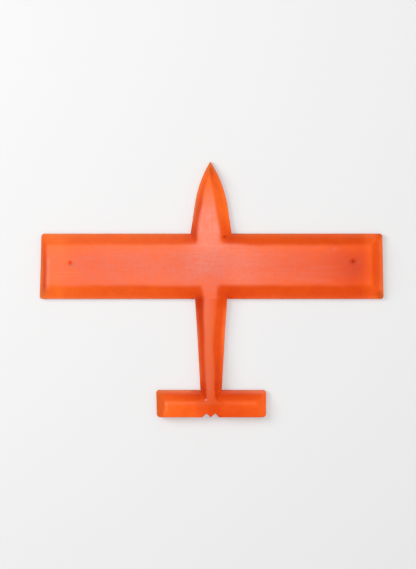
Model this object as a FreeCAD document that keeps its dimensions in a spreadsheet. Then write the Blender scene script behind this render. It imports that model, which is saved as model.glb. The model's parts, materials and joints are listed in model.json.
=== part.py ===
import FreeCAD, Part
import os

import Sketcher

# A flat aeroplane made of three cast-resin bars. The wing and the tailplane lie across the fuselage in
# lap joints, dowels key the laps from below, and the edges are bevelled by hand after gluing.
# Millimetres. X is the span, +Y points to the nose, Z is up, and the flat underside lies on Z = 0.
# The origin is the middle of the outline's box, on the underside.

SIZES = {
    # Whole object
    "overall_span": 200.0,
    "overall_length": 148.5,
    "thickness": 8.0,
    "edge_land": 1.8,
    "lap_height": 4.0,
    # Wing bar; a bevel's size is its width seen from above
    "wing_front": 32.4,
    "wing_chord": 38.0,
    "tip_slant_left": 1.15,
    "tip_slant_right": 0.75,
    "tip_corner": 1.7,
    "bevel_front": 6.9,
    "bevel_rear": 8.1,
    "bevel_left": 3.8,
    "bevel_right": 7.4,
    # Fuselage bar: half-widths of its outline, from its own centre line
    "body_centre": -0.3,
    "nose_length": 25.1,
    "nose_offset": 0.45,
    "nose_arc": 65.8,
    "half_nose": 9.45,
    "half_neck": 11.9,
    "half_root": 9.3,
    "half_waist": 7.65,
    "half_tail": 5.85,
    # The flat left along its top: how far each side is from the centre line
    "flat_setback": 7.4,
    "flat_arc": 45.0,
    "flat_nose_left": 5.3,
    "flat_nose_right": 2.0,
    "flat_neck_left": 8.9,
    "flat_neck_right": 5.2,
    "flat_root_left": 4.6,
    "flat_root_right": 3.1,
    "flat_waist_left": 3.9,
    "flat_waist_right": 0.7,
    "flat_tail_left": 3.2,
    "flat_tail_right": 3.2,
    # Tailplane bar
    "tail_span": 63.9,
    "tail_chord": 15.7,
    "tail_corner": 1.7,
    "tail_slant_left": 0.45,
    "tail_bevel_front": 6.6,
    "tail_bevel_left": 5.5,
    "tail_bevel_right": 5.0,
    "tail_rear_land": 5.6,
    "notch_pitch": 5.2,
    "notch_centre": -0.5,
    "notch_depth": 2.3,
    # Lap joints and dowels
    "tongue_length": 11.4,
    "wing_dowel_radius": 1.5,
    "wing_dowel_pitch": 19.0,
    "tail_dowel_radius": 1.0,
    "tail_dowel_pitch": 6.4,
    "dowel_length": 6.4,
    "dowel_play": 0.02,
    # Holes through the wing, near its tips
    "hole_radius": 0.5,
    "hole_left": 81.9,
    "hole_left_setback": 17.1,
    "hole_right": 81.8,
    "hole_right_setback": 16.3,
}

# Stations along the fuselage, from the nose back
NOSE_TIP = "Sizes.overall_length / 2"
NOSE_SHOULDER = "(Sizes.overall_length / 2 - Sizes.nose_length)"
WING_FRONT = "Sizes.wing_front"
WING_REAR = "(Sizes.wing_front - Sizes.wing_chord)"
TAIL_REAR = "(-Sizes.overall_length / 2)"
TAIL_FRONT = f"({TAIL_REAR} + Sizes.tail_chord)"
TAIL_RIDGE = f"({TAIL_FRONT} - Sizes.tail_bevel_front)"
BOOM_WAIST = f"(({WING_REAR} + {TAIL_FRONT}) / 2)"

# Places across the span
WING_LEFT = "(-Sizes.overall_span / 2)"
WING_RIGHT = "(Sizes.overall_span / 2)"
TAIL_LEFT = "(Sizes.body_centre - Sizes.tail_span / 2)"
TAIL_RIGHT = "(Sizes.body_centre + Sizes.tail_span / 2)"

LAND = "Sizes.edge_land"
TOP = "Sizes.thickness"
OVERSHOOT = 0.2  # how far a cutting section runs on past the edge that it files, as a share of the bevel


def make_sheet(doc):
    """The spreadsheet of driving sizes, one named cell to a row."""
    sheet = doc.addObject("Spreadsheet::Sheet", "Sizes")
    for row, (alias, value) in enumerate(SIZES.items(), start=1):
        sheet.set(f"A{row}", alias.replace("_", " "))
        sheet.set(f"B{row}", str(value))
        sheet.setAlias(f"B{row}", alias)
    doc.recompute()


def beside(side, size):
    """The X place at a distance, given by a size's name, to the left or right of the fuselage's centre line."""
    sign = "-" if side == "left" else "+"
    return f"(Sizes.body_centre {sign} Sizes.{size})"


def new_sketch(body, name, plane, height=None):
    """A sketch on one of the body's own origin planes, raised by an expression if one is given."""
    sketch = body.newObject("Sketcher::SketchObject", name)
    origin_plane = next(f for f in body.Origin.OriginFeatures if f.Role == plane)
    sketch.AttachmentSupport = [(origin_plane, "")]
    sketch.MapMode = "FlatFace"
    if height is not None:
        sketch.setExpression(".AttachmentOffset.Base.z", height)
    return sketch


def constrain(sketch, expression, kind, *where):
    """A sketch constraint whose value follows an expression."""
    index = sketch.addConstraint(Sketcher.Constraint(kind, *where, sketch.evalExpression(expression)))
    sketch.setExpression(f"Constraints[{index}]", expression)


def arc_between(start, end, radius):
    """The arc from start to end that bulges to the right of its chord."""
    chord = end - start
    right = FreeCAD.Vector(chord.y, -chord.x, 0).normalize()
    bulge = radius - (radius**2 - (chord.Length / 2) ** 2) ** 0.5
    return Part.Arc(start, (start + end) / 2 + right * bulge, end)


def draw_outline(sketch, corners, arcs=None):
    """A closed anticlockwise outline through corners given as pairs of expressions.

    arcs maps the number of each side that is an arc to the expression of its radius.
    """
    arcs = arcs or {}
    points = [FreeCAD.Vector(sketch.evalExpression(x), sketch.evalExpression(y), 0) for x, y in corners]
    for side, start in enumerate(points):
        end = points[(side + 1) % len(points)]
        if side in arcs:
            sketch.addGeometry(arc_between(start, end, sketch.evalExpression(arcs[side])))
        else:
            sketch.addGeometry(Part.LineSegment(start, end))
    for side, (x, y) in enumerate(corners):
        following = (side + 1) % len(corners)
        sketch.addConstraint(Sketcher.Constraint("Coincident", side, 2, following, 1))
        constrain(sketch, x, "DistanceX", -1, 1, side, 1)
        constrain(sketch, y, "DistanceY", -1, 1, side, 1)
    for side, radius in arcs.items():
        constrain(sketch, radius, "Radius", side)


def pad_outline(body, name, corners, length, arcs=None):
    """The body's outline drawn on the underside and padded up."""
    outline = new_sketch(body, name + "Outline", "XY_Plane")
    draw_outline(outline, corners, arcs)
    feature = body.newObject("PartDesign::Pad", name + "Pad")
    feature.Profile = outline
    feature.setExpression("Length", length)
    return feature


def pocket_through(body, sketch, name):
    """A pocket through the whole body, both ways from its sketch."""
    feature = body.newObject("PartDesign::Pocket", name)
    feature.Profile = sketch
    feature.Type = "ThroughAll"
    feature.Midplane = True


def round_corners(doc, body, blank, name, radius):
    """Rounds the upright edges of a padded outline."""
    doc.recompute()
    upright = [
        f"Edge{number}"
        for number, edge in enumerate(blank.Shape.Edges, start=1)
        if abs(edge.tangentAt(edge.FirstParameter).z) > 0.99
    ]
    fillet = body.newObject("PartDesign::Fillet", name)
    fillet.Base = (blank, upright)
    fillet.setExpression("Radius", radius)


def file_bevel(body, name, plane, edge, ridge, land=LAND):
    """Files one bevel: takes off all that lies above the slope from the land at the edge to the top at the ridge."""
    beyond = f"({edge} + ({edge} - {ridge}) * {OVERSHOOT})"
    below = f"({land} - ({TOP} - {land}) * {OVERSHOOT})"
    above = f"({TOP} * (1 + {OVERSHOOT}))"
    sketch = new_sketch(body, name + "Section", plane)
    draw_outline(sketch, [(ridge, TOP), (ridge, above), (beyond, above), (beyond, below)])
    pocket_through(body, sketch, name)


def make_wing_bar(doc):
    """The wing as one bar: slanted tips, rounded corners and a bevel of its own width on each side."""
    body = doc.addObject("PartDesign::Body", "WingBar")
    corners = [
        (WING_LEFT, WING_REAR),
        (WING_RIGHT, WING_REAR),
        (f"{WING_RIGHT} - Sizes.tip_slant_right", WING_FRONT),
        (f"{WING_LEFT} + Sizes.tip_slant_left", WING_FRONT),
    ]
    blank = pad_outline(body, "Wing", corners, TOP)
    round_corners(doc, body, blank, "WingCorners", "Sizes.tip_corner")
    left_edge = f"({WING_LEFT} + Sizes.tip_slant_left / 2)"
    right_edge = f"({WING_RIGHT} - Sizes.tip_slant_right / 2)"
    file_bevel(body, "WingFront", "YZ_Plane", WING_FRONT, f"({WING_FRONT} - Sizes.bevel_front)")
    file_bevel(body, "WingRear", "YZ_Plane", WING_REAR, f"({WING_REAR} + Sizes.bevel_rear)")
    file_bevel(body, "WingLeft", "XZ_Plane", left_edge, f"({left_edge} + Sizes.bevel_left)")
    file_bevel(body, "WingRight", "XZ_Plane", right_edge, f"({right_edge} - Sizes.bevel_right)")
    return body


def make_fuselage_bar(doc):
    """The fuselage as one bar: a thin land all round, and above it flanks that rise to a narrow flat."""
    body = doc.addObject("PartDesign::Body", "FuselageBar")
    stations = [
        (NOSE_SHOULDER, "nose"),
        (WING_FRONT, "neck"),
        (WING_REAR, "root"),
        (BOOM_WAIST, "waist"),
        (TAIL_RIDGE, "tail"),
    ]
    nose_x = "(Sizes.body_centre - Sizes.nose_offset)"
    outline = [(nose_x, NOSE_TIP)]
    outline += [(beside("left", "half_" + name), station) for station, name in stations]
    outline += [(beside("right", "half_" + name), station) for station, name in reversed(stations)]
    flat = [(nose_x, f"{NOSE_TIP} - Sizes.flat_setback")]
    flat += [(beside("left", f"flat_{name}_left"), station) for station, name in stations]
    flat += [(beside("right", f"flat_{name}_right"), station) for station, name in reversed(stations)]
    last_side = len(outline) - 1

    edge = new_sketch(body, "FuselageEdge", "XY_Plane", LAND)
    draw_outline(edge, outline, {0: "Sizes.nose_arc", last_side: "Sizes.nose_arc"})
    ridges = new_sketch(body, "FuselageRidges", "XY_Plane", TOP)
    draw_outline(ridges, flat, {0: "Sizes.flat_arc"})

    land = body.newObject("PartDesign::Pad", "FuselageLand")
    land.Profile = edge
    land.Reversed = True
    land.setExpression("Length", LAND)
    flanks = body.newObject("PartDesign::AdditiveLoft", "FuselageFlanks")
    flanks.Profile = edge
    flanks.Sections = [ridges]
    flanks.Ruled = True
    return body


def make_tail_bar(doc):
    """The tailplane as one bar: ridge towards the front, a long fall to the rear edge and two V-notches in it."""
    body = doc.addObject("PartDesign::Body", "TailBar")
    corners = [
        (f"{TAIL_LEFT} + Sizes.tail_slant_left", TAIL_REAR),
        (TAIL_RIGHT, TAIL_REAR),
        (TAIL_RIGHT, TAIL_FRONT),
        (TAIL_LEFT, TAIL_FRONT),
    ]
    blank = pad_outline(body, "Tail", corners, TOP)
    round_corners(doc, body, blank, "TailCorners", "Sizes.tail_corner")
    file_bevel(body, "TailFront", "YZ_Plane", TAIL_FRONT, TAIL_RIDGE)
    file_bevel(body, "TailRear", "YZ_Plane", TAIL_REAR, TAIL_RIDGE, "Sizes.tail_rear_land")
    file_bevel(body, "TailLeft", "XZ_Plane", TAIL_LEFT, f"({TAIL_LEFT} + Sizes.tail_bevel_left)")
    file_bevel(body, "TailRight", "XZ_Plane", TAIL_RIGHT, f"({TAIL_RIGHT} - Sizes.tail_bevel_right)")

    left_apex = "(Sizes.notch_centre - Sizes.notch_pitch / 2)"
    right_apex = "(Sizes.notch_centre + Sizes.notch_pitch / 2)"
    apex_line = f"({TAIL_REAR} + Sizes.notch_depth)"
    behind = f"({TAIL_REAR} - Sizes.notch_depth)"
    notches = new_sketch(body, "TailNotchOutline", "XY_Plane")
    draw_outline(
        notches,
        [
            (f"{left_apex} - Sizes.notch_depth", behind),
            (f"{right_apex} + Sizes.notch_depth", behind),
            (f"{right_apex} + Sizes.notch_depth", TAIL_REAR),
            (right_apex, apex_line),
            ("Sizes.notch_centre", TAIL_REAR),
            (left_apex, apex_line),
            (f"{left_apex} - Sizes.notch_depth", TAIL_REAR),
        ],
    )
    pocket_through(body, notches, "TailNotches")
    return body


def make_lap(doc, name, corners):
    """The lower half of the fuselage's bar where another bar lies over it."""
    body = doc.addObject("PartDesign::Body", name)
    pad_outline(body, name, corners, "Sizes.lap_height")
    return body


def make_box(doc, name, low, high):
    """A box between two corners given as triples of expressions."""
    box = doc.addObject("Part::Box", name)
    for axis, side, start, end in zip("xyz", ("Length", "Width", "Height"), low, high):
        box.setExpression(f"Placement.Base.{axis}", start)
        box.setExpression(side, f"({end}) - ({start})")
    return box


def make_rod(doc, name, x, y, radius, length):
    """An upright round rod that stands on the underside's plane."""
    rod = doc.addObject("Part::Cylinder", name)
    rod.setExpression("Placement.Base.x", x)
    rod.setExpression("Placement.Base.y", y)
    rod.setExpression("Radius", radius)
    rod.setExpression("Height", length)
    return rod


def combine(doc, kind, name, base, tool):
    """A Part::Cut or Part::Common of two objects."""
    result = doc.addObject(kind, name)
    result.Base = base
    result.Tool = tool
    return result


def fuse(doc, name, pieces):
    result = doc.addObject("Part::MultiFuse", name)
    result.Shapes = pieces
    result.Refine = True
    return result


def make_dowels(doc):
    """Each dowel with the hole that it fills, as (dowel, hole) pairs."""
    lap_middle = f"(({WING_FRONT} + {WING_REAR}) / 2)"
    tongue_middle = f"({TAIL_FRONT} - Sizes.tongue_length / 2)"
    centre = "Sizes.body_centre"
    places = {
        "wing_dowel_front": (centre, f"{lap_middle} + Sizes.wing_dowel_pitch / 2", "Sizes.wing_dowel_radius"),
        "wing_dowel_rear": (centre, f"{lap_middle} - Sizes.wing_dowel_pitch / 2", "Sizes.wing_dowel_radius"),
        "tail_dowel_left": (f"{centre} - Sizes.tail_dowel_pitch / 2", tongue_middle, "Sizes.tail_dowel_radius"),
        "tail_dowel_right": (f"{centre} + Sizes.tail_dowel_pitch / 2", tongue_middle, "Sizes.tail_dowel_radius"),
    }
    pairs = []
    for name, (x, y, radius) in places.items():
        dowel = make_rod(doc, name, x, y, f"{radius} - Sizes.dowel_play", "Sizes.dowel_length")
        hole = make_rod(doc, name + "_hole", x, y, radius, "Sizes.dowel_length + Sizes.dowel_play")
        pairs.append((dowel, hole))
    return pairs


def make_hanging_holes(doc):
    """The two small holes through the wing near its tips."""
    left_y = f"{WING_FRONT} - Sizes.hole_left_setback"
    right_y = f"{WING_FRONT} - Sizes.hole_right_setback"
    left = make_rod(doc, "hole_left", "-Sizes.hole_left", left_y, "Sizes.hole_radius", TOP)
    right = make_rod(doc, "hole_right", "Sizes.hole_right", right_y, "Sizes.hole_radius", TOP)
    return [left, right]


def make_parts(doc):
    """The three bars lapped into each other, and the dowels: every sub-part, under its own name."""
    aircraft = fuse(doc, "FiledOutline", [make_wing_bar(doc), make_fuselage_bar(doc), make_tail_bar(doc)])
    under_wing = make_lap(
        doc,
        "WingLap",
        [
            (beside("left", "half_root"), WING_REAR),
            (beside("right", "half_root"), WING_REAR),
            (beside("right", "half_neck"), WING_FRONT),
            (beside("left", "half_neck"), WING_FRONT),
        ],
    )
    tongue_end = f"({TAIL_FRONT} - Sizes.tongue_length)"
    under_tail = make_lap(
        doc,
        "TailLap",
        [
            (beside("left", "half_tail"), tongue_end),
            (beside("right", "half_tail"), tongue_end),
            (beside("right", "half_tail"), TAIL_FRONT),
            (beside("left", "half_tail"), TAIL_FRONT),
        ],
    )
    wing_zone = make_box(doc, "WingZone", (WING_LEFT, WING_REAR, "0"), (WING_RIGHT, WING_FRONT, TOP))
    tail_zone = make_box(doc, "TailZone", (TAIL_LEFT, TAIL_REAR, "0"), (TAIL_RIGHT, TAIL_FRONT, TOP))
    pairs = make_dowels(doc)
    drillings = fuse(doc, "DowelHoles", [hole for dowel, hole in pairs])
    hanging_holes = fuse(doc, "HangingHoles", make_hanging_holes(doc))

    whole_wing = combine(doc, "Part::Common", "WholeWing", aircraft, wing_zone)
    halved_wing = combine(doc, "Part::Cut", "HalvedWing", whole_wing, under_wing)
    keyed_wing = combine(doc, "Part::Cut", "KeyedWing", halved_wing, drillings)
    wing = combine(doc, "Part::Cut", "wing", keyed_wing, hanging_holes)

    whole_tail = combine(doc, "Part::Common", "WholeTail", aircraft, tail_zone)
    halved_tail = combine(doc, "Part::Cut", "HalvedTail", whole_tail, under_tail)
    tailplane = combine(doc, "Part::Cut", "tailplane", halved_tail, drillings)

    crossing_bars = fuse(doc, "CrossingBars", [halved_wing, halved_tail])
    lapped_fuselage = combine(doc, "Part::Cut", "LappedFuselage", aircraft, crossing_bars)
    fuselage = combine(doc, "Part::Cut", "fuselage", lapped_fuselage, drillings)

    return [fuselage, wing, tailplane] + [dowel for dowel, hole in pairs]


def check(doc, parts):
    """Stops unless every object recomputed and every sub-part is one valid solid."""
    for item in doc.Objects:
        if "Invalid" in item.State or "Error" in item.State:
            raise RuntimeError(f"{item.Label} failed: {item.State}")
    for part in parts:
        shape = part.Shape
        if shape.isNull() or not shape.isValid() or len(shape.Solids) != 1:
            raise RuntimeError(f"{part.Label} isn't one valid solid")
        print(f"{part.Label}: {shape.Volume:.1f} mm3, box {shape.BoundBox}")


def main():
    doc = FreeCAD.newDocument("Aeroplane")
    make_sheet(doc)
    parts = make_parts(doc)
    doc.recompute()
    check(doc, parts)
    os.makedirs("parts", exist_ok=True)
    for part in parts:
        part.Shape.exportStep(os.path.join("parts", part.Label + ".step"))


main()
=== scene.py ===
import json
import math

import bmesh
import bpy
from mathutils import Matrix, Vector, noise
from mathutils.bvhtree import BVHTree


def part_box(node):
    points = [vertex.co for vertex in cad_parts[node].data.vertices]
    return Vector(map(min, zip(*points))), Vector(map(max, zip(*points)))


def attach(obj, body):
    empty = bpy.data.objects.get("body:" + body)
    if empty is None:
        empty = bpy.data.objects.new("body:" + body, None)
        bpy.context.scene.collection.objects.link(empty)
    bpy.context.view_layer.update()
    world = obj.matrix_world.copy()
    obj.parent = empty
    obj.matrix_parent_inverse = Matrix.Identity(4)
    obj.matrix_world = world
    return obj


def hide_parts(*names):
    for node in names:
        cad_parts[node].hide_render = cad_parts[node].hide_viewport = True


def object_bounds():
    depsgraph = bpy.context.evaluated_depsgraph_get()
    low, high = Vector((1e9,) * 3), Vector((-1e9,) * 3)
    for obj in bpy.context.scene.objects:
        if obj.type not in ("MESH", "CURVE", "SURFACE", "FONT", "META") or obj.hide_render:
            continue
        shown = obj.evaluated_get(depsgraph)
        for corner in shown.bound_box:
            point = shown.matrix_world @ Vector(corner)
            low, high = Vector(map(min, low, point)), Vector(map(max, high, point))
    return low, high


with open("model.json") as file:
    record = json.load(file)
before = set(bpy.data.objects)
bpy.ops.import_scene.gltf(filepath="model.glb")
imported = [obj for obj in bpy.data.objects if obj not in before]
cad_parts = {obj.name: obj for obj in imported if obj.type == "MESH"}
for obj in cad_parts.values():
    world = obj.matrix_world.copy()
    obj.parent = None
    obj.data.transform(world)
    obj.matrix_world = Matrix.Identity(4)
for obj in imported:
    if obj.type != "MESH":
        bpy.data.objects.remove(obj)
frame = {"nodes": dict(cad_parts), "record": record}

# A flat aeroplane of hand-filed, translucent cast resin: a fuselage, a wing and a tailplane lapped into
# each other, and the dowels that key the laps. Metres, in the frame's own axes.

cad_low, cad_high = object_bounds()

MM = 0.001
BARS = ("fuselage", "wing", "tailplane")
WING_DOWELS = ("wing_dowel_front", "wing_dowel_rear")
TAIL_DOWELS = ("tail_dowel_left", "tail_dowel_right")
PIN_HOLES = ("pin_hole_left", "pin_hole_right")

GRID = 0.7 * MM  # spacing of the modelled surface
TAIL_GRID = 0.3 * MM  # finer on the tailplane, for its notches
FUSELAGE_DIVISIONS = 34  # across the fuselage, at every station
HAIR = 0.01 * MM  # how far a place just inside an outline lies from it
TIP_CUT = 0.12 * MM  # taken off the nose, so that it ends in an edge
TIP_CORNER = 1.7 * MM  # radius of the wing's and tailplane's corners in plan
EDGE_ROUND = 0.5 * MM  # rounding of the outline's top edge
FOOT = 0.25 * MM  # chamfer round the underside
GLUE_GAP = 0.015 * MM  # left between lapped faces
EASE_CRISP = 1.0 * MM  # how far a ridge is rounded over, on the left
EASE_SOFT = 1.5 * MM  # and on the right
EASE_CORNER = 1.2 * MM  # and how much more in the inside corners, which a file can't reach
CORNER_REACH = 5 * MM  # how far the painted shade of the inside corners spreads
WANDER = 0.5 * MM  # how far a filed ridge strays from straight
WANDER_LENGTH = 13 * MM
RIDGE_FORWARD = 1.2 * MM  # how far the wing's front ridge comes forward beside the fuselage
RIPPLE = 0.10 * MM  # depth of the unevenness left by the file
LONG_RIPPLE, SHORT_RIPPLE = 9 * MM, 3.5 * MM
EDGE_STEPS = (0.0, 0.06 * MM, 0.14 * MM, 0.26 * MM, 0.5 * MM, 0.9 * MM)  # distances in from a rounded edge
RIM_FLARE = 0.12 * MM  # countersink worn round each small hole
SHARP_ANGLE = math.radians(40)  # edges that turn by more than this stay crisp
FAR = 1.0  # a metre off, well clear of the object
DOWN = Vector((0, 0, -1))

nodes = frame["nodes"]
mounts = {mount["name"]: mount for mount in frame["record"]["mounts"]}


# ---------------------------------------------------------------- reading the frame's shape


def ray_tree(names):
    """One ray-casting tree of several CAD nodes."""
    corners, faces = [], []
    for name in names:
        mesh = nodes[name].data
        start = len(corners)
        corners += [vertex.co.copy() for vertex in mesh.vertices]
        faces += [[start + i for i in face.vertices] for face in mesh.polygons]
    return BVHTree.FromPolygons(corners, faces)


all_bars = ray_tree(BARS)
fuselage_tree = ray_tree(["fuselage"])
tailplane_tree = ray_tree(["tailplane"])
wing_low, wing_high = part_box("wing")
tail_low, tail_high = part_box("tailplane")
fuselage_low, fuselage_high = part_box("fuselage")
TOP = cad_high.z
LAND = 0.5 * MM  # a height that lies on the upright land all round the outline


def top_height(x, y):
    """The height of the bevelled face at a place, or None beyond the outline."""
    hit = all_bars.ray_cast(Vector((x, y, TOP + MM)), DOWN)[0]
    return hit.z if hit is not None and hit.z > LAND else None


def fuselage_sides(y):
    """The left and right X of the fuselage's outline at a station."""
    left = fuselage_tree.ray_cast(Vector((-FAR, y, LAND)), Vector((1, 0, 0)))[0]
    right = fuselage_tree.ray_cast(Vector((FAR, y, LAND)), Vector((-1, 0, 0)))[0]
    return left.x, right.x


def tail_rear(x):
    """The Y of the tailplane's notched rear edge."""
    return tailplane_tree.ray_cast(Vector((x, -FAR, LAND)), Vector((0, 1, 0)))[0].y


def inside_corners():
    """Where the outlines of two bars meet: each place, and how much painted shade deepens the resin's colour
    there.
    """
    front_left, front_right = fuselage_sides(wing_high.y + MM)
    rear_left, rear_right = fuselage_sides(wing_low.y - MM)
    tail_left, tail_right = fuselage_sides(tail_high.y + MM)
    return [
        (Vector((front_left, wing_high.y)), 0.42),
        (Vector((front_right, wing_high.y)), 0.55),
        (Vector((rear_left, wing_low.y)), 0.40),
        (Vector((rear_right, wing_low.y)), 0.65),
        (Vector((tail_left, tail_high.y)), 0.30),
        (Vector((tail_right, tail_high.y)), 0.15),
    ]


CORNERS = inside_corners()


def smooth_step(low, high, value):
    """Eases from 0 at low to 1 at high. With low above high it eases the other way, from 1 down to 0."""
    share = min(max((value - low) / (high - low), 0.0), 1.0)
    return share * share * (3 - 2 * share)


def blend(first, second, share):
    """A share of the way from the first value to the second."""
    return first + (second - first) * share


def wavy(x, y, wavelength, layer):
    """Smooth noise from about -1 to 1, a different field for each layer."""
    layer_spacing = 7.3
    return noise.noise(Vector((x / wavelength, y / wavelength, layer * layer_spacing)))


def circle(radius, count, turn=0.0):
    """Points spaced evenly round a circle."""
    angles = [i * math.tau / count + turn for i in range(count)]
    return [(radius * math.cos(angle), radius * math.sin(angle)) for angle in angles]


DISC = [(0.0, 0.0)] + circle(0.5, 6) + circle(1.0, 10, turn=0.3)  # where the height is read, round a place


def bell(value, middle, width):
    """A smooth hump: 1 at the middle, and near nothing two widths away."""
    return math.exp(-(((value - middle) / width) ** 2))


def crowding(x, y):
    """How far the wing's front ridge runs forward of straight, close to the fuselage."""
    behind_edge = wing_high.y - y
    on_bevel = smooth_step(0.0, 4 * MM, behind_edge)
    before_flat = smooth_step(13 * MM, 8 * MM, behind_edge)
    spread = 18 * MM
    return RIDGE_FORWARD * bell(x, 0.0, spread) * (on_bevel * before_flat)


def filed_height(x, y):
    """The bevelled face with its ridges eased, wandering and slightly rippled, as a file leaves it."""
    to_right = smooth_step(-2 * MM, 6 * MM, x)
    nearest = min((Vector((x, y)) - corner).length for corner, depth in CORNERS)
    near_corner = smooth_step(8 * MM, 3 * MM, nearest)
    ease = blend(EASE_CRISP, EASE_SOFT, to_right) + EASE_CORNER * near_corner
    shift_x = WANDER * wavy(x, y, WANDER_LENGTH, 1)
    shift_y = WANDER * wavy(x, y, WANDER_LENGTH, 2) - crowding(x, y)
    heights = []
    for across, along in DISC:
        height = top_height(x + across * ease + shift_x, y + along * ease + shift_y)
        if height is None:
            height = top_height(x + across * ease, y + along * ease)
        if height is not None:
            heights.append(height)
    level = sum(heights) / len(heights)
    ripple = 0.6 * wavy(x, y, LONG_RIPPLE, 3) + 0.4 * wavy(x, y, SHORT_RIPPLE, 4)
    return level - RIPPLE * (0.5 + 0.5 * ripple)


# ---------------------------------------------------------------- building solids


def rounding(distance, radius):
    """How far a rounded edge falls away from its face, at a distance in from the edge."""
    if distance >= radius:
        return 0.0
    return radius - math.sqrt(radius**2 - (radius - distance) ** 2)


def steps_between(length, divisions):
    """Distances along a length: close together at both ends and even between them."""
    end_share = 0.35  # of the length, at most, for the close points at each end
    scale = min(1.0, end_share * length / EDGE_STEPS[-1])
    ends = [step * scale for step in EDGE_STEPS]
    inner = length - 2 * ends[-1]
    even = [ends[-1] + inner * i / divisions for i in range(1, divisions)]
    return ends + even + [length - step for step in reversed(ends)]


def is_open(point, outward):
    """True where nothing adjoins the bar just beyond a point on its edge."""
    step = 0.3 * MM
    beyond = point + outward * step
    return top_height(beyond.x, beyond.y) is None


def as_object(shape, name):
    """An object made of a closed shape, whose faces are turned outwards first."""
    bmesh.ops.recalc_face_normals(shape, faces=shape.faces)
    mesh = bpy.data.meshes.new(name)
    shape.to_mesh(mesh)
    shape.free()
    made = bpy.data.objects.new(name, mesh)
    bpy.context.scene.collection.objects.link(made)
    return made


def rung_row(shape, low, high, divisions, end_gaps):
    """A bar's vertices at one rung: over the filed top from its low edge, then back along the underside."""
    across = high - low
    width = across.length
    across.normalize()
    low_open, high_open = is_open(low, -across), is_open(high, across)
    row = []
    for distance in steps_between(width, divisions):
        place = low + across * distance
        gaps = list(end_gaps)
        if low_open:
            gaps.append(distance)
        if high_open:
            gaps.append(width - distance)
        drop = rounding(min(gaps), EDGE_ROUND) if gaps else 0.0
        row.append(shape.verts.new((place.x, place.y, filed_height(place.x, place.y) - drop)))
    inset = min(FOOT, width / 4)
    under = [
        (high, FOOT),
        (high - across * inset, 0.0),
        (low + across * inset, 0.0),
        (low, FOOT),
    ]
    return row + [shape.verts.new((place.x, place.y, height)) for place, height in under]


def bar_mesh(name, rungs, divisions, open_ends=(True, True)):
    """A closed bar over rungs, each a pair of plan points on its long edges, rounded at its open ends."""
    shape = bmesh.new()
    ends = [end for end, is_end_open in zip((rungs[0], rungs[-1]), open_ends) if is_end_open]
    rows = []
    for low, high in rungs:
        middle = (low + high) / 2
        end_gaps = [(middle - (end[0] + end[1]) / 2).length for end in ends]
        rows.append(rung_row(shape, low, high, divisions, end_gaps))
    for row, following in zip(rows, rows[1:]):
        for i in range(len(row)):
            j = (i + 1) % len(row)
            shape.faces.new((row[i], row[j], following[j], following[i]))
    shape.faces.new(reversed(rows[0]))
    shape.faces.new(rows[-1])
    return as_object(shape, name)


def prism(outline, low, high):
    """A cutter: an upright prism over a plan outline."""
    shape = bmesh.new()
    bottom = [shape.verts.new((x, y, low)) for x, y in outline]
    top = [shape.verts.new((x, y, high)) for x, y in outline]
    shape.faces.new(reversed(bottom))
    shape.faces.new(top)
    for i in range(len(outline)):
        j = (i + 1) % len(outline)
        shape.faces.new((bottom[i], bottom[j], top[j], top[i]))
    return as_object(shape, "cutter")


def turned(centre, profile, segments=48):
    """A cutter, disc or dowel: a profile of radii and heights turned about an upright axis."""
    shape = bmesh.new()
    rings = []
    for radius, height in profile:
        points = circle(radius, segments)
        rings.append([shape.verts.new((centre.x + x, centre.y + y, height)) for x, y in points])
    for ring, following in zip(rings, rings[1:]):
        for i in range(segments):
            j = (i + 1) % segments
            shape.faces.new((ring[i], ring[j], following[j], following[i]))
    shape.faces.new(reversed(rings[0]))
    shape.faces.new(rings[-1])
    return as_object(shape, "cutter")


def cut_away(piece, cutters):
    """Subtracts each cutter from a piece and removes it."""
    for cutter in cutters:
        modifier = piece.modifiers.new("cut", "BOOLEAN")
        modifier.operation = "DIFFERENCE"
        modifier.solver = "EXACT"
        modifier.object = cutter
    evaluated = piece.evaluated_get(bpy.context.evaluated_depsgraph_get())
    finished = bpy.data.meshes.new_from_object(evaluated)
    piece.modifiers.clear()
    piece.data = finished
    for cutter in cutters:
        bpy.data.objects.remove(cutter)


def shade(piece):
    """Smooth shading that keeps the sawn corners crisp."""
    for face in piece.data.polygons:
        face.use_smooth = True
    piece.data.set_sharp_from_angle(angle=SHARP_ANGLE)


# ---------------------------------------------------------------- the three bars

BETWEEN_DOWELS = (wing_low.y + wing_high.y) / 2 + 4 * MM
LAP = fuselage_tree.ray_cast(Vector((0, BETWEEN_DOWELS, FAR)), DOWN)[0].z  # height of the laps' faces


def tip_x(y, side, low, high):
    """The X of a crossing bar's tip, which may slant, at a place along its chord: side -1 left, 1 right."""
    past_corner = 3 * MM
    rows = [low.y + past_corner, high.y - past_corner]
    ends = [all_bars.ray_cast(Vector((side * FAR, row, LAND)), Vector((-side, 0, 0)))[0].x for row in rows]
    return ends[0] + (ends[1] - ends[0]) * (y - rows[0]) / (rows[1] - rows[0])


def crossing_rungs(low, high, spacing, rear_edge):
    """The rungs of the wing or tailplane, from its left tip to its right, drawn in at the rounded corners."""
    span = high.x - low.x
    rungs = []
    for distance in steps_between(span, round(span / spacing)):
        share = distance / span
        drawn_in = rounding(min(distance, span - distance), TIP_CORNER)
        rung = []
        for y in (low.y + drawn_in, high.y - drawn_in):
            left, right = tip_x(y, -1, low, high), tip_x(y, 1, low, high)
            rung.append(Vector((blend(left, right, share), y)))
        inner_x = min(max(rung[0].x, low.x + 2 * TIP_CORNER), high.x - 2 * TIP_CORNER)
        rung[0].y = rear_edge(inner_x) + drawn_in
        rungs.append(rung)
    return rungs


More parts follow.
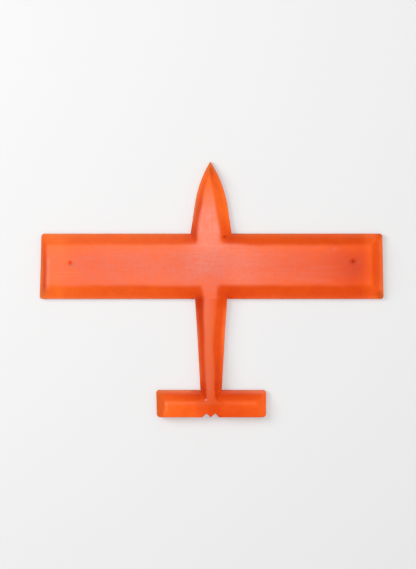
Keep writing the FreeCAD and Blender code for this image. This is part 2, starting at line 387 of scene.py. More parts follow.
def fuselage_rungs():
    """The rungs of the fuselage, from its nose to its tail."""
    length = fuselage_high.y - fuselage_low.y
    rungs = []
    for distance in steps_between(length - TIP_CUT, round(length / GRID)):
        y = fuselage_high.y - TIP_CUT - distance
        left, right = fuselage_sides(max(y, fuselage_low.y + HAIR))
        rungs.append([Vector((left, y)), Vector((right, y))])
    return rungs


def make_wing():
    """The wing, housed over the fuselage and drilled for its dowels and the two pins."""
    rungs = crossing_rungs(wing_low, wing_high, GRID, lambda x: wing_low.y)
    piece = bar_mesh("wing_bar", rungs, round((wing_high.y - wing_low.y) / GRID))
    cutters = [crossing_lap(wing_low.y, wing_high.y, past_rear=MM)]
    cutters += [dowel_hole(name) for name in WING_DOWELS]
    cutters += [pin_hole(mounts[name]) for name in PIN_HOLES]
    cut_away(piece, cutters)
    return piece


def make_fuselage():
    """The fuselage, halved under the wing and under the tailplane and drilled for all four dowels."""
    piece = bar_mesh("fuselage_bar", fuselage_rungs(), FUSELAGE_DIVISIONS, open_ends=(True, False))
    side = 30 * MM  # beyond the fuselage's sides
    cutters = []
    for rear, front in ((wing_low.y, wing_high.y), (tail_low.y, tail_high.y)):
        rear, front = rear - GLUE_GAP, front + GLUE_GAP
        outline = [(-side, rear), (side, rear), (side, front), (-side, front)]
        cutters.append(prism(outline, LAP - GLUE_GAP, TOP + MM))
    cutters += [dowel_hole(name) for name in WING_DOWELS + TAIL_DOWELS]
    cut_away(piece, cutters)
    return piece


def make_tailplane():
    """The tailplane, notched along its rear edge and housed over the fuselage's tongue."""
    rungs = crossing_rungs(tail_low, tail_high, TAIL_GRID, tail_rear)
    piece = bar_mesh("tailplane_bar", rungs, round((tail_high.y - tail_low.y) / TAIL_GRID))
    cutters = [crossing_lap(fuselage_low.y, tail_high.y, past_rear=GLUE_GAP)]
    cutters += [dowel_hole(name) for name in TAIL_DOWELS]
    cut_away(piece, cutters)
    return piece


def crossing_lap(rear, front, past_rear):
    """The cutter for the housing that a crossing bar has over the fuselage."""
    rear_left, rear_right = fuselage_sides(rear + HAIR)
    front_left, front_right = fuselage_sides(front - HAIR)
    outline = [
        (rear_left - GLUE_GAP, rear - past_rear),
        (rear_right + GLUE_GAP, rear - past_rear),
        (front_right + GLUE_GAP, front + MM),
        (front_left - GLUE_GAP, front + MM),
    ]
    return prism(outline, -MM, LAP)


def dowel_facts(name):
    """A dowel's centre, radius and top."""
    low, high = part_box(name)
    return (low + high) / 2, (high.x - low.x) / 2, high.z


def dowel_hole(name):
    """The cutter for a dowel's blind hole, a little larger than the dowel."""
    centre, radius, top = dowel_facts(name)
    radius += GLUE_GAP
    return turned(centre, [(radius, -MM), (radius, top + GLUE_GAP)])


def pin_hole(mount):
    """The cutter for a small hole right through the wing, flared at the top."""
    centre = Vector(mount["pos_m"])
    radius = mount["dims"]["r_mm"] * MM
    flare = radius + RIM_FLARE
    surface = filed_height(centre.x + radius * 3, centre.y)
    profile = [
        (radius, -MM),
        (radius, surface - RIM_FLARE * 2),
        (flare, surface + RIM_FLARE * 0.5),
        (flare, TOP + MM),
    ]
    return turned(centre, profile)


def make_dowel(name):
    """A round dowel with its lower rim eased and its upper rim bevelled."""
    centre, radius, top = dowel_facts(name)
    bevel = radius * 0.2
    eased = bevel * 0.4
    profile = [(radius - eased, 0.0), (radius, eased), (radius, top - bevel), (radius - bevel, top)]
    piece = turned(centre, profile)
    piece.name = name + "_rod"
    return piece


# ---------------------------------------------------------------- where the resin is deep, bloomed or worn, with painted shade, glow and sheen

HALF_SPAN = wing_high.x
HALF_LENGTH = cad_high.y
CENTRE = (fuselage_low.x + fuselage_high.x) / 2
BOOM_LEFT, BOOM_RIGHT = fuselage_sides(tail_high.y + MM)
EDGE_HEIGHT = top_height(wing_low.x * 0.6, wing_high.y - HAIR)  # where the bevels start, on the solids
WALL_HEIGHT = EDGE_HEIGHT - EDGE_ROUND - 0.1 * MM  # below this are the upright walls and the underside
WALL_LOOK = (0.95, 0.0, 0.0)  # deep, and neither bloomed nor worn
TAIL_FALL = 0.286  # slope of the tailplane's long rear bevel
GENTLEST_BEVEL = 0.25  # a slope a little below that of any bevel
HOLES = [Vector(mounts[name]["pos_m"]).xy for name in PIN_HOLES]
HOLE_GLOWS = (0.85, 0.28)  # how bright the painted glow is in each hole, standing in for light the resin carries from within


def ramp(value, *stops):
    """Straight-line interpolation between (place, amount) stops, level beyond the first and the last."""
    for (start, low), (end, high) in zip(stops, stops[1:]):
        if value <= end:
            return low + (high - low) * max(value - start, 0.0) / (end - start)
    return stops[-1][1]


def slope_at(x, y):
    """The fall of the bevelled face across and along the fuselage: positive if it falls to +X and to +Y."""
    reach = 0.8 * MM
    places = [(x - reach, y), (x + reach, y), (x, y - reach), (x, y + reach)]
    heights = [top_height(*place) for place in places]
    left, right, rear, front = (EDGE_HEIGHT if height is None else height for height in heights)
    return (left - right) / (2 * reach), (rear - front) / (2 * reach)


class Place:
    """A place on the bevelled side, and all that the resin's look there depends on."""

    def __init__(self, x, y, z):
        self.x, self.y = x, y
        self.across = x / HALF_SPAN  # -1 at the left wing tip and 1 at the right
        self.along = y / HALF_LENGTH  # -1 at the tailplane's rear edge and 1 at the nose
        self.chord = (y - wing_low.y) / (wing_high.y - wing_low.y)  # 0 and 1 at the wing's two long edges
        self.is_wing = 0 <= self.chord <= 1
        self.is_outer = abs(self.across) > 0.5  # nearer a wing tip than the fuselage
        self.is_tail = y <= tail_high.y
        self.is_boom = y < wing_low.y and not self.is_tail
        beyond = max(BOOM_LEFT - x, x - BOOM_RIGHT, 0.0)
        self.beside_boom = 1 - smooth_step(0.0, 4 * MM, beyond)
        self.behind_ridge = (TOP - z) / TAIL_FALL
        to_right, to_front = slope_at(x, y)
        self.inward = max(z - EDGE_HEIGHT, 0.0) / max(abs(to_right), abs(to_front), GENTLEST_BEVEL)
        self.flat = smooth_step(TOP - 0.75 * MM, TOP - 0.14 * MM, z)  # 0 on the bevels and 1 on the flats
        falls = [max(-to_right, 0.0), max(to_right, 0.0), max(to_front, 0.0), max(-to_front, 0.0)]
        total = sum(falls) + 1e-6
        # How far the place faces each way, as shares of one
        self.left, self.right, self.front, self.rear = (fall / total for fall in falls)

    def facing(self, left, right, front, rear):
        """One value mixed from those of the four slopes by how far the place faces each way."""
        return self.left * left + self.right * right + self.front * front + self.rear * rear


def wing_flat_depth(place):
    """The wing's flat: deepest along the middle of its chord and towards its right tip."""
    along_span = ramp(
        place.across,
        (-0.93, 0.22), (-0.88, 0.22), (-0.80, 0.42), (-0.30, 0.42), (-0.10, 0.57), (0.03, 0.60),
        (0.15, 0.47), (0.30, 0.48), (0.60, 0.57), (0.72, 0.66), (0.87, 0.76), (0.90, 0.58), (0.93, 0.38),
    )
    middle = ramp(
        place.chord,
        (0.20, 0.10), (0.28, 0.20), (0.36, 0.28), (0.50, 0.34), (0.66, 0.26), (0.78, 0.04), (0.82, -0.04),
    )
    fullness = ramp(
        place.across,
        (-0.93, 0.6), (-0.80, 0.6), (-0.70, 1.0), (0.30, 0.9), (0.70, 1.15), (0.82, 1.4), (0.93, 0.7),
    )
    return along_span + middle * fullness


def front_bevel_depth(place):
    """The wing's front bevel: lightest near the left tip, and deeper to the right."""
    return ramp(
        place.across,
        (-0.97, 0.34), (-0.94, 0.24), (-0.88, 0.20), (-0.81, 0.42), (-0.55, 0.47), (-0.40, 0.51),
        (-0.10, 0.60), (0.10, 0.72), (0.35, 0.76), (0.60, 0.82), (0.86, 0.92), (0.90, 0.62),
        (0.93, 0.45), (0.98, 0.56),
    )


def rear_bevel_depth(place):
    """The wing's rear bevel, a little deeper than the front one."""
    return ramp(
        place.across,
        (-0.95, 0.30), (-0.88, 0.20), (-0.80, 0.38), (-0.60, 0.55), (-0.40, 0.62), (-0.10, 0.70),
        (0.10, 0.78), (0.30, 0.84), (0.60, 0.91), (0.86, 1.00), (0.90, 0.80), (0.93, 0.60), (0.98, 0.66),
    )


def left_flank_depth(place):
    """The fuselage's left flank, darkened with painted shade: darkest two millimetres in from its edge."""
    deepest = ramp(
        place.along,
        (-0.83, 1.4), (-0.75, 1.15), (-0.64, 1.0), (-0.51, 1.1), (-0.32, 1.25), (-0.24, 1.35),
        (-0.08, 1.4), (0.45, 1.12), (0.62, 1.10), (0.70, 0.96), (0.78, 0.66), (0.90, 0.45),
    )
    lighter = ramp(place.inward, (0.0, 0.75), (0.8 * MM, 0.4), (1.7 * MM, 0.0), (3.0 * MM, 0.12))
    return deepest - lighter


def right_flank_depth(place):
    """The fuselage's right flank, lit by a painted glow: deepest beside the ridge, lighter towards its edge.
    """
    deepest = ramp(
        place.along,
        (-0.83, 1.3), (-0.75, 1.25), (-0.64, 1.05), (-0.51, 0.9), (-0.36, 0.72), (-0.17, 0.56),
        (0.42, 0.50), (0.55, 0.40), (0.62, 0.34), (0.74, 0.36), (0.84, 0.45), (0.90, 0.50),
    )
    # painted glow towards the edge, strongest on the boom
    glow = 0.65 if place.y < 0 else 0.25
    return deepest - glow * ramp(place.inward, (0.0, 1.0), (0.9 * MM, 0.7), (2.6 * MM, 0.0))


def fuselage_flat_depth(place):
    """The fuselage's flat: deepest at the tail, and lighter to the right ahead of the wing."""
    deep = ramp(
        place.along,
        (-0.89, 0.95), (-0.83, 1.02), (-0.74, 0.95), (-0.60, 0.88), (-0.47, 0.79), (-0.32, 0.72),
        (-0.17, 0.70), (-0.05, 0.75), (0.42, 0.55), (0.58, 0.55), (0.65, 0.42), (0.74, 0.34), (0.83, 0.22),
    )
    lighter_to_right = 0.010 * (place.x - CENTRE) / MM
    return deep - lighter_to_right if place.y > wing_high.y else deep


def tail_ridge_depth(place):
    """The tailplane's ridge: deepest where it crosses the fuselage."""
    return ramp(
        (place.x - CENTRE) / MM,
        (-31.0, 0.55), (-28.5, 0.42), (-26.5, 0.30), (-22.0, 0.32), (-16.0, 0.42), (-9.0, 0.52), (-4.0, 0.72),
        (0.0, 0.92), (3.5, 0.92), (7.5, 0.68), (16.0, 0.60), (20.0, 0.58), (25.0, 0.48), (30.0, 0.46),
    )


def tail_front_depth(place):
    """The tailplane's front bevel: a dark line just in from its edge."""
    darkest = ramp(
        (place.x - CENTRE) / MM,
        (-31.0, 0.60), (-27.0, 0.62), (-18.0, 0.78), (-12.0, 0.92), (-6.0, 1.05), (16.0, 1.12), (20.0, 1.05),
        (25.0, 0.82), (30.0, 0.80),
    )
    share = ramp(place.inward, (0.0, 0.4), (1.2 * MM, 1.0), (2.2 * MM, 1.0), (6.5 * MM, 0.0))
    return blend(tail_ridge_depth(place), darkest, share)


def tail_rear_depth(place):
    """The long fall behind the tailplane's ridge: deeper to the rear, and most on the right."""
    fall = blend(0.06, 0.30, smooth_step(-0.2 * tail_high.x, 0.5 * tail_high.x, place.x))
    return tail_ridge_depth(place) + fall * ramp(place.behind_ridge, (1 * MM, 0.0), (8 * MM, 1.0))


def left_tip_depth(place):
    """The wing's narrow left bevel: light at its edge, then a deep band of painted shade that fades towards
    the front.
    """
    band = ramp(place.chord, (0.04, 0.55), (0.14, 1.0), (0.55, 0.85), (0.80, 0.45), (0.95, 0.30))
    return 0.36 + band * ramp(
        place.inward, (0.6 * MM, 0.0), (1.6 * MM, 0.6), (2.4 * MM, 1.15), (3.3 * MM, 0.7)
    )


def right_tip_depth(place):
    """The wing's wide right bevel: a painted highlight at the ridge and a painted glow at the edge, deeper
    between them.
    """
    middle = bell(place.chord, 0.5, 0.55)
    return 0.40 + middle * ramp(
        place.inward,
        (0.0, 0.10), (1.2 * MM, 0.25), (2.4 * MM, 0.48), (5.6 * MM, 0.50), (6.8 * MM, 0.22), (7.4 * MM, 0.10),
    )


def flat_depth(place):
    """How deep the resin looks on the flat of whichever bar the place is on."""
    if place.is_wing:
        return wing_flat_depth(place)
    if place.is_tail:
        return blend(tail_ridge_depth(place), fuselage_flat_depth(place), place.beside_boom)
    return fuselage_flat_depth(place)


def bevel_depth(place):
    """How deep the resin looks on the bevels, mixed by the way that the place faces, with painted shade on
    slopes that face left and painted glow on those that face right.
    """
    left, right = left_flank_depth(place), right_flank_depth(place)
    if place.is_wing:
        rear = rear_bevel_depth(place)
        if place.is_outer:
            left, right = left_tip_depth(place), right_tip_depth(place)
        elif place.chord < 0.5:
            past_boom = smooth_step(0.01, 0.09, place.chord)
            left, right = blend(left, rear, past_boom), blend(right, rear, past_boom)
        return place.facing(left, right, front_bevel_depth(place), rear)
    if place.is_tail:
        left = blend(0.62, left, place.beside_boom)
        right = blend(0.50, right, place.beside_boom)
        return place.facing(left, right, tail_front_depth(place), tail_rear_depth(place))
    return place.facing(left, right, right, left)


def wing_haze_and_sheen(place):
    """The frosted bloom and painted sheen of the overhead light on the wing's flat, strongest over the
    fuselage and fading to the right tip.
    """
    along_span = ramp(
        place.across,
        (-0.95, 0.050), (-0.60, 0.072), (-0.20, 0.080), (-0.06, 0.118), (0.03, 0.110), (0.20, 0.097),
        (0.30, 0.072), (0.45, 0.054), (0.60, 0.044), (0.72, 0.028), (0.82, 0.016), (0.93, 0.010),
    )
    outer = ramp(place.chord, (0.20, 0.70), (0.35, 1.0), (0.65, 1.0), (0.80, 0.72))
    inner = ramp(place.chord, (0.0, 0.5), (0.20, 0.58), (0.35, 0.8), (0.50, 0.99), (0.80, 1.16), (1.0, 1.2))
    return along_span * blend(outer, inner, bell(place.across, 0.0, 0.12))


def fuselage_haze_and_sheen(place):
    """The frosted bloom and painted sheen of the overhead light on the fuselage's flat, strongest just ahead
    of the wing.
    """
    haze_and_sheen = ramp(
        place.along,
        (-0.86, 0.020), (-0.78, 0.046), (-0.40, 0.046), (-0.10, 0.056), (0.02, 0.060), (0.42, 0.150),
        (0.58, 0.135), (0.66, 0.10), (0.74, 0.065), (0.82, 0.015),
    )
    # on the boom the painted sheen lies left of the middle, where its rounded top turns to the light
    if place.y < wing_low.y:
        haze_and_sheen *= ramp((place.x - CENTRE) / MM, (-4.0, 1.2), (-1.0, 0.95), (2.0, 0.35))
    return blend(0.022, haze_and_sheen, place.beside_boom) if place.is_tail else haze_and_sheen


def rim_highlight(place):
    """The painted highlight and glow along the arris of the outline, on the bar and side that the place
    belongs to.
    """
    if place.is_tail:
        front = blend(0.10, 0.15, smooth_step(BOOM_LEFT, BOOM_RIGHT, place.x))
        return place.facing(0.0, 0.01, front, 0.0)
    if place.is_wing and abs(place.across) > 0.2:
        front = blend(0.03, 0.05, smooth_step(-0.1, 0.2, place.across))
        return place.facing(0.035, 0.03, front, 0.02)
    if place.is_boom:
        right = ramp(place.along, (-0.80, 0.0), (-0.45, 0.05), (-0.10, 0.15))
        return place.facing(0.09, right, 0.0, 0.0)
    left = ramp(place.along, (0.80, 0.045), (0.98, 0.0))
    return place.facing(left, 0.0, 0.035, 0.0)


def rim_wear(place):
    """How tan the arris is worn along the outline."""
    if place.is_wing and place.is_outer:
        return place.facing(0.30, 0.24, 0.14, 0.06)
    front = 0.36 if place.is_wing and place.x > BOOM_RIGHT else 0.20
    return place.facing(0.18, 0.0, front, 0.06)


class Mark:
    """A streak between two places, or a round spot, that adds to the look and fades out at its own edge."""

    def __init__(self, start, end, radius, depth=0.0, bloom_and_sheen=0.0, wear_and_shade=0.0):
        self.start, self.end = Vector(start) * MM, Vector(end) * MM
        self.radius = radius * MM
        self.added = (depth, bloom_and_sheen, wear_and_shade)

    def share(self, x, y):
        """How much of the mark shows at a place, from 0 to 1."""
        run = self.end - self.start
        offset = Vector((x, y)) - self.start
        reached = min(max(offset.dot(run) / max(run.length_squared, 1e-12), 0.0), 1.0)
        return smooth_step(1.4 * self.radius, 0.4 * self.radius, (offset - run * reached).length)


LEFT_HOLE, RIGHT_HOLE = ((hole.x / MM, hole.y / MM) for hole in HOLES)
MARKS = [
    # Painted shade in the mouth of each small hole, and stains and scuffs round them
    Mark(LEFT_HOLE, LEFT_HOLE, 1.1, depth=1.0, bloom_and_sheen=-0.12),
    Mark((-80.5, 14.3), (-79.6, 14.1), 0.9, depth=0.75, bloom_and_sheen=0.065),
    Mark((-80.9, 12.4), (-78.0, 9.0), 2.6, wear_and_shade=0.04),
    Mark(RIGHT_HOLE, RIGHT_HOLE, 1.05, depth=3.4, bloom_and_sheen=-0.05),
    Mark((78.4, 10.5), (85.0, 16.4), 3.6, depth=0.10, bloom_and_sheen=0.006),
    Mark((76.9, 15.6), (77.3, 15.2), 0.8, wear_and_shade=0.12),
    Mark((84.6, 15.3), (86.0, 15.5), 0.7, wear_and_shade=0.12),
    Mark((84.3, 10.2), (84.6, 7.6), 0.8, wear_and_shade=0.10),
    # Pale scratches on the right half of the wing
    Mark((70.4, 22.6), (72.2, 23.4), 0.5, bloom_and_sheen=0.05),
    Mark((66.4, 21.4), (67.4, 21.6), 0.5, bloom_and_sheen=0.03),
    Mark((49.0, 5.6), (69.0, 5.0), 0.5, bloom_and_sheen=0.030),
    Mark((52.0, 9.6), (76.0, 9.0), 0.5, bloom_and_sheen=0.018),
    Mark((58.0, 13.1), (74.0, 12.9), 0.5, bloom_and_sheen=0.018),
    # The left tip's ridge, a little worn and pale with a painted highlight, and the mitres at the tips'
    # corners
    Mark((-95.0, 0.6), (-94.7, 17.5), 0.7, bloom_and_sheen=0.08, wear_and_shade=0.05),
    Mark((-98.9, -4.4), (-95.9, -0.9), 0.9, depth=0.30, bloom_and_sheen=0.02, wear_and_shade=0.25),
    Mark((98.6, 31.2), (97.4, 30.8), 1.5, depth=0.55, bloom_and_sheen=-0.03, wear_and_shade=0.10),
    Mark((98.8, -4.6), (97.4, -2.6), 1.9, depth=0.70, bloom_and_sheen=-0.03, wear_and_shade=0.14),
    Mark((98.0, -1.5), (97.9, 4.5), 0.6, bloom_and_sheen=0.018),
    # The nose: a tan tip, a dark patch beside the ridge, and a speck at the wing's root
    Mark((-0.8, 73.6), (-0.7, 69.8), 2.8, wear_and_shade=0.13),
    Mark((-0.2, 69.4), (0.5, 66.3), 0.9, depth=0.42, wear_and_shade=0.02),
    Mark((7.5, 30.4), (7.7, 30.3), 0.65, depth=2.4, wear_and_shade=0.05),
    # The tailplane: a tan left tip bounded by a pale arc of painted highlight along its ridge, and a bright
    # speck beside the boom
    Mark((-31.3, -72.0), (-31.3, -60.5), 4.0, wear_and_shade=0.12, depth=0.05),
    Mark((-27.0, -65.6), (-26.0, -66.6), 0.6, bloom_and_sheen=0.045, depth=-0.1),
    Mark((-26.0, -66.6), (-26.0, -69.4), 0.6, bloom_and_sheen=0.035, depth=-0.1),
    Mark((-26.0, -69.4), (-26.8, -71.8), 0.6, bloom_and_sheen=0.012, depth=-0.1),
    Mark((-3.3, -63.9), (-3.4, -63.9), 0.5, bloom_and_sheen=0.25, depth=-0.3),
]


def painted_corner_shade(x, y):
    """How much painted shade deepens the resin's colour near the inside corners of the outline."""
    place = Vector((x, y))
    return sum(amount * math.exp(-(place - corner).length / CORNER_REACH) for corner, amount in CORNERS)


def rim_share(place):
    """How much of the arris's look shows: all at the outline, fading inwards, and sooner on the boom."""
    stretch = 0.6 if place.is_boom else 1.0
    fade = ramp(place.inward / stretch, (0.0, 1.0), (0.6 * MM, 0.85), (1.3 * MM, 0.35), (2.8 * MM, 0.0))
    return (1 - place.flat) * fade


def face_bloom_and_sheen(place):
    """The frosted bloom and painted sheen on the flats, and a trace of them on the wing's front bevel."""
    if not place.is_wing:
        return blend(0.0, fuselage_haze_and_sheen(place), place.flat)
    bevel_haze_and_sheen = 0.011 * place.front * smooth_step(0.3, -0.1, place.across)
    return blend(bevel_haze_and_sheen, wing_haze_and_sheen(place), place.flat)


def boom_flat_shade(place):
    """A tan darkening on the boom's flat: painted shade, in the worn colour."""
    film = ramp(place.along, (-0.80, 0.07), (-0.60, 0.10), (-0.30, 0.10), (-0.08, 0.0))
    return film * place.beside_boom * place.flat


def look_of_place(x, y, z):
    """How deep the resin's colour is, painted shade and glow included; how bloomed its face is, with painted
    sheen and highlights; and how worn, with painted shade on the boom's flat.
    """
    if z < WALL_HEIGHT:
        return WALL_LOOK
    place = Place(x, y, z)
    rim = rim_share(place)
    # corner holds the painted shade of the inside corners
    corner = painted_corner_shade(x, y)
    look = [
        blend(bevel_depth(place) + corner, flat_depth(place) + 0.15 * corner, place.flat),
        # painted sheen on the faces, and painted highlight along the arris
        face_bloom_and_sheen(place) + rim_highlight(place) * rim,
        # worn arris, and painted shade on the boom's flat
        rim_wear(place) * rim + boom_flat_shade(place),
    ]
    for mark in MARKS:
        share = mark.share(x, y)
        look = [value + added * share for value, added in zip(look, mark.added)]
    depth, bloom_and_sheen, wear_and_shade = look
    return depth, max(bloom_and_sheen, 0.0), max(wear_and_shade, 0.0)


def softened(mesh, looks, rounds=2):
    """The looks of the bevelled side, each averaged with its neighbours' so that the ridges blend."""
    upper = [vertex.co.z >= WALL_HEIGHT for vertex in mesh.vertices]
    neighbours = [[i] for i in range(len(upper))]
    for edge in mesh.edges:
        first, second = edge.vertices
        if upper[first] and upper[second]:
            neighbours[first].append(second)
            neighbours[second].append(first)
    for _ in range(rounds):
        looks = [
            [sum(values) / len(near) for values in zip(*(looks[i] for i in near))] for near in neighbours
        ]
    return looks


def glow_of_face(face):
    """How bright the painted glow is on a face, standing in for light carried through the resin: only on the
    small holes' upright walls.
    """
    is_upright = abs(face.normal.z) < 0.5
    for hole, glow in zip(HOLES, HOLE_GLOWS):
        if is_upright and (face.center.xy - hole).length < 2 * MM:
            return glow
    return 0.0


def paint(piece):
    """Stores the look of each place on a finished piece, painted shade, glow and sheen included, for the
    material to read.
    """
    mesh = piece.data
    looks = softened(mesh, [look_of_place(*vertex.co) for vertex in mesh.vertices])
    for name, values in zip(("depth", "bloom_and_sheen", "wear_and_shade"), zip(*looks)):
        attribute = mesh.attributes.new(name, "FLOAT", "POINT")
        attribute.data.foreach_set("value", values)
    glow = mesh.attributes.new("glow", "FLOAT", "FACE")
    glow.data.foreach_set("value", [glow_of_face(face) for face in mesh.polygons])


# ---------------------------------------------------------------- materials


class Graph:
    """A material's node tree, with short calls to add nodes and link them."""

    def __init__(self, name):
        self.material = bpy.data.materials.new(name)
        self.material.use_nodes = True
        self.nodes = self.material.node_tree.nodes
        self.links = self.material.node_tree.links
        self.shader = self.nodes["Principled BSDF"]

    def add(self, kind, inputs=None, **settings):
        """A node with its settings made, and its inputs linked to sockets or set to values."""
        node = self.nodes.new(kind)
        for name, value in settings.items():
            setattr(node, name, value)
        for name, value in (inputs or {}).items():
            if isinstance(value, bpy.types.NodeSocket):
                self.links.new(value, node.inputs[name])
            else:
                node.inputs[name].default_value = value
        return node

    def attribute(self, name):
        """A value that paint() stored on the mesh."""
        return self.add("ShaderNodeAttribute", attribute_name=name).outputs["Fac"]

    def math(self, operation, first, second):
        """One sum on two sockets or numbers."""
        return self.add("ShaderNodeMath", {0: first, 1: second}, operation=operation).outputs[0]

    def noise(self, place, scale, stretch=(1, 1, 1), detail=3.0, offset=0.0):
        """Noise from about -0.3 to 0.3, in cycles per metre and stretched along chosen axes."""
        mapping = self.add(
            "ShaderNodeMapping", {"Vector": place, "Scale": stretch, "Location": (offset, 0, 0)}
        )
        texture = self.add(
            "ShaderNodeTexNoise", {"Vector": mapping.outputs[0], "Scale": scale, "Detail": detail}
        )
        return self.math("SUBTRACT", texture.outputs[0], 0.5)

    def above(self, value, threshold):
        """What is left of a value above a threshold, and nothing below it."""
        return self.math("MAXIMUM", self.math("SUBTRACT", value, threshold), 0.0)

    def sum(self, total, *terms):
        """A total plus (value, weight) terms."""
        for value, weight in terms:
            total = self.math("ADD", total, self.math("MULTIPLY", value, weight))
        return total

    def mix(self, factor, first, second):
        """A mix of two colours."""
        factor_in, first_in, second_in, colour_out = 0, 6, 7, 2  # the node's sockets for colours
        inputs = {factor_in: factor, first_in: first, second_in: second}
        return self.add("ShaderNodeMix", inputs, data_type="RGBA").outputs[colour_out]


SHALLOWEST, DEEPEST = -0.2, 1.6  # the range of depths that the colour ramp covers
RAMP_STEPS = 6
# pale colour of the frosting, which also carries the painted sheen and highlights
BLOOM_AND_SHEEN_COLOUR = (1.0, 1.0, 0.96, 1.0)
# tan of worn resin, also used for the painted shade on the boom's flat
WORN_AND_SHADE_COLOUR = (0.34, 0.22, 0.05, 1.0)
GLOW_COLOUR = (0.74, 0.065, 0.001, 1.0)


def resin_colour(depth):
    """The resin's own colour, from yellow-orange where light gets out to deep red where it doesn't."""
    red_lost, green_kept, blue_kept = 0.3, 0.36, 0.25  # for each unit of depth
    return (1.0 - red_lost * max(depth, 0.0), 0.18 * green_kept**depth, 0.026 * blue_kept**depth, 1.0)


def depth_ramp(graph, depth):
    """The resin's colour at the depth that a socket gives, by a ramp between a few of its colours."""
    share = graph.add(
        "ShaderNodeMapRange", {"Value": depth, "From Min": SHALLOWEST, "From Max": DEEPEST}
    )
    node = graph.add("ShaderNodeValToRGB", {"Fac": share.outputs[0]})
    stops = node.color_ramp.elements
    for i in range(1, RAMP_STEPS):
        stops.new(i / RAMP_STEPS)
    for i, stop in enumerate(stops):
        stop.color = resin_colour(blend(SHALLOWEST, DEEPEST, i / RAMP_STEPS))
    return node.outputs[0]


def resin(name, grain_axis):
    """Hand-filed cast resin: its look from the mesh, painted shade, glow and sheen included, with mottling,
    file streaks, scratches and satin.
    """
    graph = Graph(name)
    place = graph.add("ShaderNodeTexCoord").outputs["Object"]
    depth, bloom_and_sheen, wear_and_shade, glow = (graph.attribute(kind) for kind in ("depth", "bloom_and_sheen", "wear_and_shade", "glow"))
    streak, scratch, cross_scratch = (0.12, 1.0, 1.0), (0.02, 1.0, 1.0), (1.0, 0.03, 1.0)
    if grain_axis == "y":
        streak, scratch, cross_scratch = ((y, x, z) for x, y, z in (streak, scratch, cross_scratch))

    mottle = graph.noise(place, 140, detail=4.0)
    blotches = graph.noise(place, 480, detail=3.0, offset=3.1)
    streaks = graph.noise(place, 1300, stretch=streak, detail=2.0, offset=1.7)
    scratches = graph.above(graph.noise(place, 900, stretch=scratch, detail=1.0, offset=0.4), 0.10)
    crossing = graph.above(graph.noise(place, 900, stretch=cross_scratch, detail=1.0, offset=5.2), 0.14)
    depth = graph.sum(depth, (mottle, 0.42), (blotches, 0.24), (streaks, 0.08))
    colour = depth_ramp(graph, depth)

    evenness = graph.sum(1.0, (mottle, 0.8), (blotches, 0.8), (streaks, 0.6))
    evenness = graph.sum(evenness, (scratches, 1.8), (crossing, 1.0))
    # the frosting and the painted sheen of the overhead light, mixed over the resin's colour
    colour = graph.mix(graph.math("MULTIPLY", bloom_and_sheen, evenness), colour, BLOOM_AND_SHEEN_COLOUR)
    # worn tan, and painted shade on the boom's flat
    wear_and_shade = graph.math("MULTIPLY", wear_and_shade, graph.math("ADD", mottle, 1.0))
    colour = graph.mix(wear_and_shade, colour, WORN_AND_SHADE_COLOUR)

    shader = graph.shader
    graph.links.new(colour, shader.inputs["Base Color"])
    # painted glow on the small holes' walls, an emission standing in for light carried through the resin
    shader.inputs["Emission Color"].default_value = GLOW_COLOUR
    graph.links.new(glow, shader.inputs["Emission Strength"])
    roughness = graph.sum(0.44, (bloom_and_sheen, 1.2), (mottle, 0.2))
    graph.links.new(roughness, shader.inputs["Roughness"])
    shader.inputs["IOR"].default_value = 1.5
    shader.inputs["Specular IOR Level"].default_value = 0.025  # a filed face hardly mirrors
    bump = graph.add("ShaderNodeBump", {"Height": streaks, "Strength": 0.12, "Distance": 0.2 * MM})
    graph.links.new(bump.outputs[0], shader.inputs["Normal"])
    return graph.material


def finish_piece(piece, node, material):
    """Shades and paints a piece, and puts it in place of the frame's node."""
    shade(piece)
    paint(piece)
    aeroplane.objects.link(piece)
    piece.data.materials.clear()
    piece.data.materials.append(material)
    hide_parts(node)
    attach(piece, "root")


wing_resin = resin("orange_resin_wing", "x")
body_resin = resin("orange_resin_body", "y")
aeroplane = bpy.data.collections.new("aeroplane")

finish_piece(make_fuselage(), "fuselage", body_resin)
finish_piece(make_wing(), "wing", wing_resin)
finish_piece(make_tailplane(), "tailplane", wing_resin)
for dowel in WING_DOWELS + TAIL_DOWELS:
    finish_piece(make_dowel(dowel), dowel, body_resin)

# ---------------------------------------------------------------- floor, light and camera

FLOOR_HALF = 3.0  # half the floor's side, far enough to pass the edge of the view
FLOOR_DROP = 0.05 * MM  # how far the floor lies below the underside
FOOT_RADIUS = 0.9 * MM
KEY_PLACE, KEY_SIZE = (-0.9, 0.32, 0.68), 0.62

scene = bpy.context.scene
scene.view_settings.view_transform = "Standard"


def paper(name, paleness):
    """A matt, neutral paper."""
    material = bpy.data.materials.new(name)
    material.use_nodes = True
    shader = material.node_tree.nodes["Principled BSDF"]
    shader.inputs["Base Color"].default_value = (paleness, paleness, paleness, 1.0)
    shader.inputs["Roughness"].default_value = 0.9
    return material


def make_floor():
    """A wide square of paper under the aeroplane."""
    mesh = bpy.data.meshes.new("floor")
    corners = [(x * FLOOR_HALF, y * FLOOR_HALF, 0) for x, y in ((-1, -1), (1, -1), (1, 1), (-1, 1))]
    mesh.from_pydata(corners, [], [(0, 1, 2, 3)])
    mesh.materials.append(paper("floor_paper", 0.455))
    floor = bpy.data.objects.new("floor", mesh)
    floor.location.z = -FLOOR_DROP
    scene.collection.objects.link(floor)
    return floor


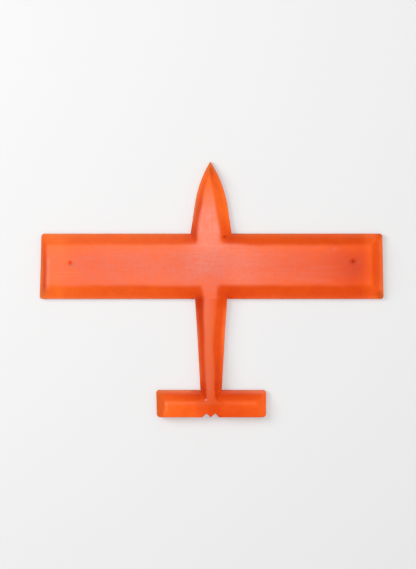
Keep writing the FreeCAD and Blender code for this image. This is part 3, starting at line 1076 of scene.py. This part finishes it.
def make_floor_in_holes():
    """Paper at the foot of each hole, clear of the floor's own lights, which would fill the holes."""
    foot_paper = paper("foot_paper", 0.89)
    for hole in HOLES:
        foot = turned(hole, [(FOOT_RADIUS, -0.04 * MM), (FOOT_RADIUS, -0.03 * MM)])
        foot.name = "floor_in_hole"
        foot.data.materials.append(foot_paper)


def make_sky():
    """A white sky, bright overhead and dim at the horizon."""
    world = bpy.data.worlds.new("studio")
    world.use_nodes = True
    sky = world.node_tree
    background = sky.nodes["Background"]
    direction = sky.nodes.new("ShaderNodeTexCoord")
    height = sky.nodes.new("ShaderNodeSeparateXYZ")
    brightness = sky.nodes.new("ShaderNodeMapRange")
    brightness.inputs["To Min"].default_value = 0.05
    brightness.inputs["To Max"].default_value = 1.15
    sky.links.new(direction.outputs["Generated"], height.inputs[0])
    sky.links.new(height.outputs["Z"], brightness.inputs["Value"])
    sky.links.new(brightness.outputs[0], background.inputs["Strength"])
    background.inputs["Color"].default_value = (1, 1, 1, 1)
    scene.world = world


def area_light(name, place, size, watts, only=None, shadows=True):
    """A round soft light aimed at the origin, which shines on everything or only on one collection."""
    data = bpy.data.lights.new(name, "AREA")
    data.shape = "DISK"
    data.size = size
    data.energy = watts
    data.use_shadow = shadows
    light = bpy.data.objects.new(name, data)
    light.location = place
    light.rotation_euler = Vector(place).to_track_quat("Z", "Y").to_euler()
    scene.collection.objects.link(light)
    if only:
        light.light_linking.receiver_collection = only
        light.visible_glossy = False


def make_camera():
    """A long lens square above the aeroplane."""
    data = bpy.data.cameras.new("camera")
    data.lens = 130
    data.clip_start, data.clip_end = 0.01, 10
    camera = bpy.data.objects.new("camera", data)
    camera.location = (-0.0021, 0.0028, 1.1965)
    scene.collection.objects.link(camera)
    scene.camera = camera


floor_only = bpy.data.collections.new("floor_only")
floor_only.objects.link(make_floor())
make_floor_in_holes()
make_sky()
area_light("key", KEY_PLACE, KEY_SIZE, watts=5.1)
area_light("fill", (1.05, -0.35, 0.75), size=0.8, watts=7, only=aeroplane)
area_light("floor_key", KEY_PLACE, KEY_SIZE, watts=6.9, only=floor_only)
area_light("floor_top", (0.1, 0.2, 1.3), size=0.1, watts=12.2, only=floor_only, shadows=False)
make_camera()
